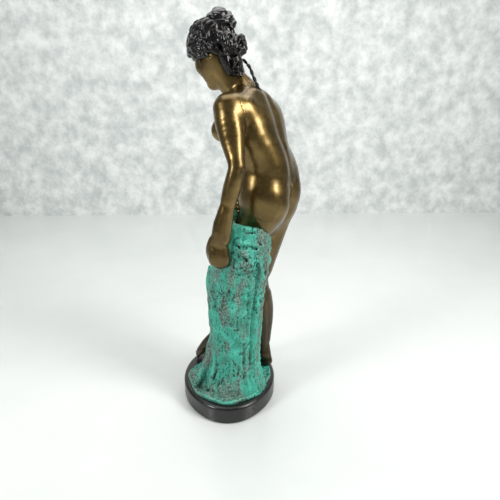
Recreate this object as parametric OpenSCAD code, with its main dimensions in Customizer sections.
// Standing bather with drapery: a cabinet bronze on an oval stone socle.
// Units are millimetres.  Z is up, the figure faces -Y and its left side is +X.
// The origin is the centre of the underside of the felt pad.

/* [Socle] */
// Length of the oval socle, left to right
socle_length = 99; // [92:1:110]
// Depth of the oval socle, front to back
socle_depth = 82; // [78:1:86]
// Thickness of the stone
socle_height = 14.2; // [12:0.2:18]
// Radius worked on the upper edge of the stone
socle_edge_radius = 2.6; // [1:0.2:4]
// Thickness of the felt under the stone
felt_thickness = 0.8; // [0.5:0.1:2]
// How far the felt stays inside the edge of the stone
felt_inset = 2; // [1:0.5:5]

/* [Ground] */
// Thickness of the bronze ground at its rim
ground_thickness = 1.9; // [1.5:0.1:3]
// Width of bare stone round the ground
ground_inset = 3.2; // [2:0.2:6]
// Depth of the bay that leaves bare stone under the free foot
ground_bay = 0.34; // [0.2:0.02:0.4]

/* [Drapery] */
// Height of the top of the falling cloth
fall_height = 150; // [147:1:153]
// Number of folds round the falling cloth
fold_count = 13; // [9:1:17]
// Depth of a fold
fold_depth = 1.7; // [0.8:0.1:2.2]

/* [Joints and fixings] */
// Clearance between castings that meet
joint_gap = 0.2; // [0.1:0.05:0.3]
// Diameter of the pins in the casting joints
pin_diameter = 3; // [2:0.25:3.5]
// Length of the pins in the casting joints
pin_length = 14; // [10:1:16]
// Thread diameter of the rod in the drapery
rod_diameter = 6; // [5:0.5:7]
// Thread diameter of the stud in the standing foot
stud_diameter = 4; // [3:0.5:4.5]

/* [Quality] */
// Facets round a cast shape
cast_facets = 12; // [10:2:14]

/* [Hidden] */

stone_colour = "#1b1a1b";
felt_colour = "#2f3a33";
flesh_colour = "#5d4a2a";
hair_colour = "#201a16";
gilt_colour = "#cdb78a";
verdigris_colour = "#4fae93";
steel_colour = "#9a9c9e";

slop = 0.01;

// Room under the upper cloth and round the covered leg, where the falling cloth is tucked away
tuck_gap = 1.6;

// Levels from the table up
stone_bottom = felt_thickness;
stone_top = stone_bottom + socle_height;
ground_top = stone_top + ground_thickness;

// Pose: joints of the body, each a point in space
pelvis = [-3.7, 32.7, 173];
pelvis_turn = -24;
waist = [-6, 30, 206];
chest = [-1.5, 22.5, 225];
chest_turn = -32;
chest_lean = 24;
neck_base = [-2, 14, 250];
skull = [-8, -7, 281];
head_turn = -30;
head_lean = 34;
head_scale = 1.1;
left_shoulder = [21.5, 3, 241.5];
left_elbow = [38, 9.5, 203];
left_wrist = [37, -2.5, 161];
left_fist = [35, -4.5, 143.5];
right_shoulder = [-19.5, 29.5, 241];
right_elbow = [-40, 22, 200];
right_wrist = [-21, 7.5, 175];
right_palm = [-12, 7, 169];
left_hip = [9, 29, 166];
left_knee = [-4, -4.5, 114];
left_ankle = [-14, -12.5, 46];
left_toe = [-22, -33.5, 20.2];
right_hip = [-14, 35, 168];
right_knee = [-8.5, 25.5, 103];
right_ankle = [-7.5, 31, 29];
right_heel = [-6.5, 34, ground_top + 4];
right_toe = [-22, 2, ground_top + 2.4];

// Fixings through the socle
rod_place = [18, 9];
stud_place = [-8, 32];
counterbore_depth = 7.2;
counterbore_diameter = 16;
nut_clearance = 0.4;

// Oval of four arcs: end arcs on the long axis, side arcs on the short axis
function end_radius(l, d) = d / 2 - (l - d) * 0.6;
function end_centre(l, d) = l / 2 - end_radius(l, d);
function side_centre(l, d) =
    let (c = end_centre(l, d), s = d / 2 - end_radius(l, d)) (c * c - s * s) / (2 * s);

// Oval outline: two end circles, and between them the part inside both side arcs
module oval(length, depth) {
    r = end_radius(length, depth);
    c = end_centre(length, depth);
    k = side_centre(length, depth);
    reach = c + r * cos(atan2(k, c));
    for (side = [-1, 1]) translate([side * c, 0]) circle(r, $fn = 120);
    intersection() {
        square([2 * reach, depth + 2], center = true);
        translate([0, -k]) circle(depth / 2 + k, $fn = 160);
        translate([0, k]) circle(depth / 2 + k, $fn = 160);
    }
}

module oval_slab(length, depth, height) linear_extrude(height) oval(length, depth);

// Oval slab whose upper edge is worked back in small steps to a quarter round
module moulded_slab(length, depth, height, edge) {
    steps = 5;
    rises = [for (i = [0:steps]) edge * sin(90 * i / steps)];
    bed = 0.3;
    oval_slab(length, depth, height - edge);
    for (i = [1:steps]) {
        set_in = 2 * edge * (1 - cos(90 * (i - 0.5) / steps));
        translate([0, 0, height - edge + rises[i - 1] - bed])
            oval_slab(length - set_in, depth - set_in, rises[i] - rises[i - 1] + bed);
    }
}

// Ball at a point, swollen by the clearance that a neighbour needs
module ball(p, r, grow = 0) translate(p) sphere(r + grow, $fn = cast_facets);

// Egg at a point, with three half sizes and its own turn
module egg(p, size, turn = [0, 0, 0], grow = 0)
    translate(p) rotate(turn) scale([for (s = size) s + grow]) sphere(1, $fn = cast_facets);

// Limb through stations of [x, y, z, radius]
module limb(stations, grow = 0) {
    for (i = [0:len(stations) - 2]) hull() {
        ball(vec(stations[i]), stations[i][3], grow);
        ball(vec(stations[i + 1]), stations[i + 1][3], grow);
    }
}

function vec(s) = [s[0], s[1], s[2]];
function mid(a, b, t = 0.5) = a * (1 - t) + b * t;
function at(p, r) = [p[0], p[1], p[2], r];
function flat(p, z = 0) = [p[0], p[1], z];

// ---- Cast shapes, before they are cut where they meet ----

// Trunk from the hips to the base of the neck
module trunk_shape(grow = 0) {
    hips = [0, 0, pelvis_turn];
    ribs = [chest_lean, 0, chest_turn];
    stages = [
        [pelvis + [0, -2, -13], [22, 13, 8], hips],
        [pelvis, [29, 15.5, 12], hips],
        [mid(pelvis, waist, 0.5), [27, 15, 10], hips],
        [waist, [22, 14, 9], [8, 0, -27]],
        [chest, [24, 17, 14], ribs],
        [mid(left_shoulder, right_shoulder) + [0, 3.5, -4], [24, 13.5, 11], ribs],
        [neck_base, [9, 8, 5], ribs]
    ];
    for (i = [0:len(stages) - 2]) hull() {
        egg(stages[i][0], stages[i][1], stages[i][2], grow);
        egg(stages[i + 1][0], stages[i + 1][1], stages[i + 1][2], grow);
    }
    translate(pelvis) rotate(hips) for (side = [-1, 1]) hull() {
        egg([side * 13, 8, 1.5 - 2 * side], [14.3, 14, 15], [0, 0, 0], grow);
        egg([side * 15, 6, 15 - 3 * side], [12, 12, 11], [0, 0, 0], grow);
    }
    translate(chest) rotate(ribs) for (side = [-1, 1]) hull() {
        egg([side * 10, -20, 4], [7.8, 8, 7.8], [0, 0, 0], grow);
        egg([side * 9, -9, 11], [10, 7, 7], [0, 0, 0], grow);
    }
    for (side = [left_shoulder, right_shoulder]) hull() {
        ball(mid(side, neck_base, 0.2), 8.2, grow);
        ball(mid(side, neck_base, 0.75) + [0, 1, -1], 7.5, grow);
    }
    hull() {
        egg(pelvis + [-12, 9, 21], [14, 13, 12], hips, grow);
        egg(waist + [-8, 6, 3], [12, 11, 12], ribs, grow);
    }
    hull() {
        egg(waist + [-6, 4, 8], [12, 11, 10], ribs, grow);
        egg(chest + [-6, 7, 4], [14, 13, 14], ribs, grow);
        egg(right_shoulder + [9, -1, -2], [10, 9, 8], ribs, grow);
    }
}

// Turn, lean and size of the head, about the middle of the skull
module head_frame() translate(skull) rotate([head_lean, 0, head_turn]) scale(head_scale) children();

module neck_shape(grow = 0) limb([
    at(neck_base + [0, 2, -4], 10.5), at(neck_base + [-1, 1, 4], 9.2), at(mid(neck_base, skull, 0.45), 8.4),
    at(mid(neck_base, skull, 0.75), 8.6)
], grow);

// Skull and a plain oval face, in the frame of the head
module face_shape(grow = 0) head_frame() {
    hull() {
        egg([0, 2, 4], [12.2, 15, 12.5], [0, 0, 0], grow);
        egg([0, -6, -2], [11, 9.5, 11], [0, 0, 0], grow);
    }
    hull() {
        egg([0, -6, -4], [10.4, 9, 9], [0, 0, 0], grow);
        egg([0, -9, -15], [5, 5, 4.5], [0, 0, 0], grow);
    }
    hull() {
        egg([0, -14.6, 1.5], [1.8, 1.6, 2], [0, 0, 0], grow);
        egg([0, -16.6, -5.6], [2.4, 1.8, 1.8], [0, 0, 0], grow);
    }
    hull() {
        egg([0, -14.2, -9.2], [3.4, 1.6, 1], [0, 0, 0], grow);
        egg([0, -14, -10.8], [2.8, 1.7, 1.1], [0, 0, 0], grow);
    }
    for (side = [-1, 1]) hull() {
        egg([side * 2.5, -13.4, 3], [2, 1.4, 1.1], [0, 0, 0], grow);
        egg([side * 7.6, -11.6, 2.4], [2, 1.4, 1.1], [0, 0, 0], grow);
    }
    for (side = [-1, 1]) egg([side * 11.8, 1, -3.5], [1.6, 2.6, 4], [0, 0, 0], grow);
}

module head_shape(grow = 0) {
    face_shape(grow);
    neck_shape(grow);
}

// Waved hair over the skull, in the frame of the head: locks swept back, and ringlets at the nape
module hair_shape(grow = 0) head_frame() {
    hull() {
        egg([0, 3, 5], [14, 15.5, 13.5], [0, 0, 0], grow);
        egg([0, -2, 7], [13, 14, 12], [0, 0, 0], grow);
    }
    locks = 7;
    for (i = [0:locks - 1]) {
        roll = -95 + 190.5 * i / (locks - 1);
        for (step = [0, 1]) hull() for (reach = [0, 1]) {
            pitch = 48 + 44 * (step + reach);
            rotate([0, roll, 0]) rotate([-pitch, 0, 0])
                egg([0, -15.4, 1], [2.8, 2.4, 2.4], [0, 0, 0], grow);
        }
    }
    for (i = [-2:2]) hull() {
        egg([i * 4.2, 15.5, -5], [3, 3.4, 3], [0, 0, 0], grow);
        egg([i * 3.6, 15, -14 + abs(i)], [2.8, 3, 2.8], [0, 0, 0], grow);
    }
    for (side = [-1, 1]) hull() {
        egg([side * 11.6, -3, 3], [2.6, 4, 4], [0, 0, 0], grow);
        egg([side * 12, 4, -5], [2.6, 4.5, 3.4], [0, 0, 0], grow);
    }
}

knot_centre = [0, 14, 10.5];
knot_radius = 7.6;

// Coiled knot on the crown, in the frame of the head
module knot_shape(grow = 0) head_frame() {
    translate(knot_centre) {
        egg([0, 0, 0], [knot_radius, knot_radius, knot_radius - 1], [0, 0, 0], grow);
        turns = 9;
        for (i = [0:turns - 1]) {
            a = 360 * i / turns;
            b = a + 70;
            hull() {
                egg([cos(a) * 6.4, sin(a) * 6.4, -3], [2.2, 2.2, 2.2], [0, 0, 0], grow);
                egg([cos(b) * 3, sin(b) * 3, 5.2], [2, 2, 2], [0, 0, 0], grow);
            }
        }
    }
}

// Loose lock from the nape to the upper back, clear of the neck
module lock_shape(grow = 0) {
    limb([
        [2, 14, 274.5, 1.1], [3.5, 19, 269, 1], [4, 21.5, 263, 1], [4.5, 24.5, 256.5, 1], [5, 27, 251.5, 0.9]
    ], grow);
}

module left_arm_shape(grow = 0) {
    limb([
        at(left_shoulder, 10.6), at(mid(left_shoulder, left_elbow, 0.3), 9.4),
        at(mid(left_shoulder, left_elbow, 0.7), 7.4), at(left_elbow, 6.2),
        at(mid(left_elbow, left_wrist, 0.3), 7.3), at(mid(left_elbow, left_wrist, 0.7), 6.2),
        at(left_wrist, 5.2)
    ], grow);
    hull() {
        egg(left_wrist, [4.6, 5.4, 5], [0, 0, 0], grow);
        egg(left_fist + [0, 0, 5], [5.4, 7.4, 7], [0, 0, 0], grow);
    }
    for (i = [0:3]) hull() {
        egg(left_fist + [1.4, -5.4 + 3.6 * i, 2], [4.2, 2.3, 4], [0, 0, 0], grow);
        egg(left_fist + [-1.5, -4.6 + 3.2 * i, -9 + abs(i - 1)], [3.4, 2.1, 3.6], [0, 0, 0], grow);
    }
    hull() {
        egg(left_fist + [-3, -7, 4], [2.4, 2.6, 5], [0, 0, 0], grow);
        egg(left_fist + [-4, -5, -5], [2.2, 2.4, 4], [0, 0, 0], grow);
    }
}

module right_arm_shape(grow = 0) {
    limb([
        at(right_shoulder, 10.6), at(mid(right_shoulder, right_elbow, 0.3), 9.4),
        at(mid(right_shoulder, right_elbow, 0.7), 7.4), at(right_elbow, 6.5),
        at(mid(right_elbow, right_wrist, 0.3), 6.9), at(mid(right_elbow, right_wrist, 0.7), 5.7),
        at(right_wrist, 4.8)
    ], grow);
    hull() {
        egg(right_wrist, [4.8, 4.4, 5], [0, 0, 0], grow);
        egg(right_palm, [5.6, 3.6, 6.4], [0, 40, 0], grow);
    }
    for (i = [0:3]) hull() {
        egg(right_palm + [1 + i, -0.5, 4.4 - 3.3 * i], [2.4, 2.6, 2], [0, 0, 0], grow);
        egg(right_palm + [10 + 0.6 * i, 2, -0.5 - 3.4 * i], [2.2, 2, 1.8], [0, 0, 0], grow);
    }
}

module left_leg_shape(grow = 0) {
    limb([
        at(left_hip, 15), at(mid(left_hip, left_knee, 0.35), 14.6), at(mid(left_hip, left_knee, 0.75), 12),
        at(left_knee, 10), at(mid(left_knee, left_ankle, 0.3) + [0, 2.5, 0], 9.8),
        at(mid(left_knee, left_ankle, 0.65) + [0, 1.5, 0], 7.6), at(left_ankle, 5.8)
    ], grow);
    instep = mid(left_ankle, left_toe, 0.5);
    hull() {
        ball(left_ankle, 5.6, grow);
        ball(left_ankle + [2, 6.5, -3], 4.6, grow);
        ball(instep + [0, 1.5, 0], 5, grow);
    }
    hull() {
        ball(instep + [0, 1.5, 0], 5, grow);
        for (side = [-1, 1]) ball(mid(instep, left_toe, 0.5) + [side * 4, 2, -1.5], 3, grow);
    }
    for (i = [0:4]) hull() {
        spread = i - 2;
        ball(mid(instep, left_toe, 0.55) + [-spread * 2.3, 1 + 0.4 * i, -1.2], 2.6, grow);
        ball(left_toe + [-spread * 2.6, 1 + 0.9 * i, 0], 1.9 - 0.12 * i, grow);
    }
}

module right_leg_shape(grow = 0) {
    limb([
        at(right_hip, 15.2), at(mid(right_hip, right_knee, 0.35), 14.2),
        at(mid(right_hip, right_knee, 0.75), 11.4), at(right_knee, 10),
        at(mid(right_knee, right_ankle, 0.33) + [0, 2, 0], 9.9),
        at(mid(right_knee, right_ankle, 0.66) + [0, 1.5, 0], 7.4), at(right_ankle, 5.9)
    ], grow);
    ball_of_foot = mid(right_heel, right_toe, 0.72);
    instep = mid(right_heel, right_toe, 0.4);
    hull() {
        ball(right_ankle, 5.8, grow);
        ball(right_heel, 5, grow);
        ball(instep + [0, 0, 3], 5, grow);
    }
    hull() {
        ball(instep + [0, 0, 3], 5, grow);
        ball(right_heel, 5, grow);
        for (side = [-1, 1]) ball(ball_of_foot + [side * 4.4, side * 1.5, -0.6], 3.3, grow);
    }
    for (i = [0:4]) hull() {
        spread = i - 2;
        ball(ball_of_foot + [-spread * 2.4, -1 + 0.5 * i, -0.6], 2.8, grow);
        ball(right_toe + [-spread * 2.7, 1.6 * i - 2, 0.2], 2.2 - 0.15 * i, grow);
    }
}

// Height stages of the falling cloth: [z, centre x, centre y, half width x, half width y]
fall_stages = [
    [ground_top, 19, 2.5, 21.5, 31], [24, 18.5, 3, 20, 27.5], [33, 18, 4, 18.5, 23.5],
    [46, 17.5, 5, 17, 20.5], [62, 17.5, 6, 16, 20.5], [78, 17.5, 6.5, 16, 22], [92, 18, 7, 16.5, 23],
    [106, 18.5, 8, 16.5, 23], [120, 19, 8.8, 15.8, 23], [131, 18.5, 10, 13.5, 20.5], [140, 18.5, 12, 11.5, 15],
    [fall_height, 19, 13, 8, 10]
];
fall_points = fold_count * 4;

// Ring of the falling cloth at one stage, its folds turning as they climb
function fall_ring(s, grow) = [
    for (i = [0:fall_points - 1])
        let (
            a = 360 * i / fall_points,
            wave = fold_depth * cos(fold_count * a + 0.9 * s[0]) + 0.8 * cos(4 * a - 1.7 * s[0])
        )
        [s[1] + (s[3] + wave + grow) * cos(a), s[2] + (s[4] + wave + grow) * sin(a), s[0]]
];

// Closed skin over rings of equal length
module skin(rings) {
    n = len(rings[0]);
    m = len(rings);
    polyhedron(
        points = [for (ring = rings) each ring],
        faces = concat(
            [[for (i = [0:n - 1]) i]],
            [for (k = [0:m - 2], i = [0:n - 1]) [k * n + i, (k + 1) * n + i, k * n + (i + 1) % n]],
            [for (k = [0:m - 2], i = [0:n - 1])
                [k * n + (i + 1) % n, (k + 1) * n + i, (k + 1) * n + (i + 1) % n]],
            [[for (i = [n - 1:-1:0]) (m - 1) * n + i]]
        )
    );
}

module fall_shape(grow = 0) skin([for (s = fall_stages) fall_ring(s, grow)]);

// Upper cloth: from the back of the left thigh, round its side, and over the loins
module swag_shape(grow = 0) {
    rolls = [
        [[9, 30, 148, 4.5], [20, 26, 150, 5], [28, 13, 154, 6], [27, 4, 155, 6.5], [18, 0, 156, 6.5],
            [6, 2, 159, 6.5], [-5, 6, 163, 6], [-15, 12, 165, 5.5], [-24, 19, 166, 5]],
        [[12, 31, 139, 4.5], [24, 25, 139, 6], [31, 12, 142, 6], [29, 2, 143, 6.5], [19, -4, 143, 7],
            [6, -4, 146, 6.5], [-7, 2, 149, 6], [-19, 9, 150, 5]],
        [[14, 32, 128, 4.2], [26, 25, 128, 5.5], [33, 12, 130, 5.5], [29, 0, 130, 6], [17, -6, 131, 6],
            [4, -5, 133, 5.5], [-8, 0, 136, 4.5]]
    ];
    for (roll = rolls) limb(roll, grow);
    limb([[-19, 12, 160, 5.5], [-21, 11, 146, 5], [-20, 10, 134, 4]], grow);
}

// Outline of the ground: the oval drawn in, rippled, with a bay at the front right
function ground_radius(a) =
    let (
        rx = socle_length / 2 - ground_inset,
        ry = socle_depth / 2 - ground_inset,
        oval = 1 / sqrt(pow(cos(a) / rx, 2) + pow(sin(a) / ry, 2)),
        bay = ground_bay * exp(-pow((a - 232) / 26, 2))
    )
    oval * (1 - bay) + 0.7 * cos(9 * a + 20) - 0.7;

module ground_shape() {
    step = 5;
    translate([0, 0, stone_top]) linear_extrude(ground_thickness)
        polygon([for (a = [0:step:360 - step]) ground_radius(a) * [cos(a), sin(a)]]);
    mounds = [[30, -16, 9, 7, 2.6], [38, 4, 6, 11, 2.2], [27, 24, 10, 6, 2.4], [-30, 8, 9, 12, 1.6],
        [-12, 22, 8, 6, 1.4], [6, -22, 8, 7, 1.8]];
    intersection() {
        for (m = mounds) translate([m[0], m[1], ground_top]) scale([m[2], m[3], m[4]])
            sphere(1, $fn = cast_facets);
        translate([-60, -60, stone_top + slop]) cube([120, 120, 20]);
    }
}

// ---- Pins, rod and stud ----

// Pins between castings: [middle, direction]
casting_pins = [
    [neck_base + [-1, 2, 2], skull - neck_base],
    [left_shoulder + [1, 0, -1], left_shoulder - right_shoulder],
    [right_shoulder + [-1, 0, -1], right_shoulder - left_shoulder],
    [mid(left_hip, left_knee, 0.22), left_knee - left_hip],
    [mid(right_hip, right_knee, 0.17), right_knee - right_hip]
];
knot_pin = [skull + [-2, 3.5, 14], [0, 8, 20]];
cloth_pins = [[31.5, 12, 124.6], [17, -6, 125.2], [25, 25, 122.8]];
cloth_pin_length = 8;
cloth_pin_diameter = 2;
rod_length = 118;
stud_length = 36;
thread_start = stone_bottom + 0.8;
washer_thickness = 1;

// Facets round a pin, and fewer round the cast space that it lies in
function round_facets(slack) = slack > 0 ? 14 : 32;

// Turns +Z to a direction
module aim(v) rotate([0, acos(v[2] / norm(v)), atan2(v[1], v[0])]) children();

module pin(place, direction, length, diameter, slack) translate(place) aim(direction)
    cylinder(h = length + slack, d = diameter + slack, center = true, $fn = round_facets(slack));

module all_pins(slack = 0) {
    for (p = casting_pins) pin(p[0], p[1], pin_length, pin_diameter, slack);
    pin(knot_pin[0], knot_pin[1], pin_length * 0.6, pin_diameter * 0.7, slack);
}

module all_cloth_pins(slack = 0)
    for (p = cloth_pins) pin(p, [0, 0, 1], cloth_pin_length, cloth_pin_diameter, slack);

module rod(slack = 0) translate(flat(rod_place, thread_start - slack))
    cylinder(h = rod_length + 2 * slack, d = rod_diameter + slack, $fn = round_facets(slack));

module stud(slack = 0) translate(flat(stud_place, thread_start - slack))
    cylinder(h = stud_length + 2 * slack, d = stud_diameter + slack, $fn = round_facets(slack));

module fixing_spaces() {
    all_pins(2 * joint_gap);
    all_cloth_pins(2 * joint_gap);
    rod(2 * joint_gap);
    stud(2 * joint_gap);
}

// Washer and nut under the stone for one thread
seat = stone_bottom + counterbore_depth;

module washer(place, thread) translate(flat(place, seat - washer_thickness)) difference() {
    cylinder(h = washer_thickness, d = 2 * thread + 1, $fn = 48);
    translate([0, 0, -slop]) cylinder(h = washer_thickness + 2 * slop, d = thread + 0.4, $fn = 32);
}

module hex_nut(place, thread) {
    height = 0.8 * thread;
    translate(flat(place, seat - washer_thickness - height)) difference() {
        cylinder(h = height, d = 1.7 * thread / cos(30), $fn = 6);
        translate([0, 0, -slop]) cylinder(h = height + 2 * slop, d = thread + 0.1, $fn = 32);
    }
}

// ---- The separate pieces ----

module felt_pad() color(felt_colour)
    oval_slab(socle_length - 2 * felt_inset, socle_depth - 2 * felt_inset, felt_thickness);

module socle() color(stone_colour) difference() {
    translate([0, 0, stone_bottom])
        moulded_slab(socle_length, socle_depth, socle_height, socle_edge_radius);
    for (hole = [[rod_place, rod_diameter], [stud_place, stud_diameter]]) {
        translate(flat(hole[0], stone_bottom - 1))
            cylinder(h = socle_height + 2, d = hole[1] + 0.6, $fn = 32);
        translate(flat(hole[0], stone_bottom - 1))
            cylinder(h = counterbore_depth + 1, d = 2 * hole[1] + 3, $fn = 48);
    }
}

module ground() color(verdigris_colour) difference() {
    ground_shape();
    translate([0, 0, slop]) fall_shape(joint_gap);
    right_leg_shape(joint_gap);
    fixing_spaces();
}

module drapery_fall() color(verdigris_colour) difference() {
    fall_shape();
    swag_shape(tuck_gap);
    trunk_shape(joint_gap);
    left_leg_shape(tuck_gap);
    right_leg_shape(joint_gap);
    left_arm_shape(joint_gap);
    fixing_spaces();
}

module drapery_swag() color(verdigris_colour) difference() {
    swag_shape();
    trunk_shape(joint_gap);
    left_leg_shape(joint_gap);
    right_leg_shape(joint_gap);
    left_arm_shape(joint_gap);
    right_arm_shape(joint_gap);
    fixing_spaces();
}

module torso() color(flesh_colour) difference() {
    trunk_shape();
    fixing_spaces();
}

module head() color(flesh_colour) difference() {
    head_shape();
    trunk_shape(joint_gap);
    fixing_spaces();
}

module hair() color(hair_colour) difference() {
    hair_shape();
    head_shape(joint_gap);
    trunk_shape(joint_gap);
    fixing_spaces();
}

module topknot() color(hair_colour) difference() {
    knot_shape();
    hair_shape(joint_gap);
    head_shape(joint_gap);
    fixing_spaces();
}

module hair_lock() color(hair_colour) difference() {
    lock_shape();
    hair_shape(joint_gap);
    head_shape(joint_gap);
    trunk_shape(joint_gap);
}

module left_arm() color(flesh_colour) difference() {
    left_arm_shape();
    trunk_shape(joint_gap);
    fixing_spaces();
}

module right_arm() color(flesh_colour) difference() {
    right_arm_shape();
    trunk_shape(joint_gap);
    left_leg_shape(joint_gap);
    fixing_spaces();
}

module left_leg() color(flesh_colour) difference() {
    left_leg_shape();
    trunk_shape(joint_gap);
    fixing_spaces();
}

module right_leg() color(flesh_colour) difference() {
    right_leg_shape();
    trunk_shape(joint_gap);
    left_leg_shape(joint_gap);
    translate([-60, -60, 0]) cube([120, 120, ground_top]);
    fixing_spaces();
}

module joint_pins() color(steel_colour) all_pins();
module drapery_rod() color(steel_colour) rod();
module foot_stud() color(steel_colour) stud();
module drapery_pins() color(steel_colour) all_cloth_pins();

module washers() color(steel_colour) {
    washer(rod_place, rod_diameter);
    washer(stud_place, stud_diameter);
}

module hex_nuts() color(steel_colour) {
    hex_nut(rod_place, rod_diameter);
    hex_nut(stud_place, stud_diameter);
}

felt_pad();
socle();
ground();
drapery_fall();
drapery_swag();
torso();
head();
hair();
topknot();
hair_lock();
left_arm();
right_arm();
left_leg();
right_leg();
joint_pins();
drapery_rod();
foot_stud();
drapery_pins();
washers();
hex_nuts();
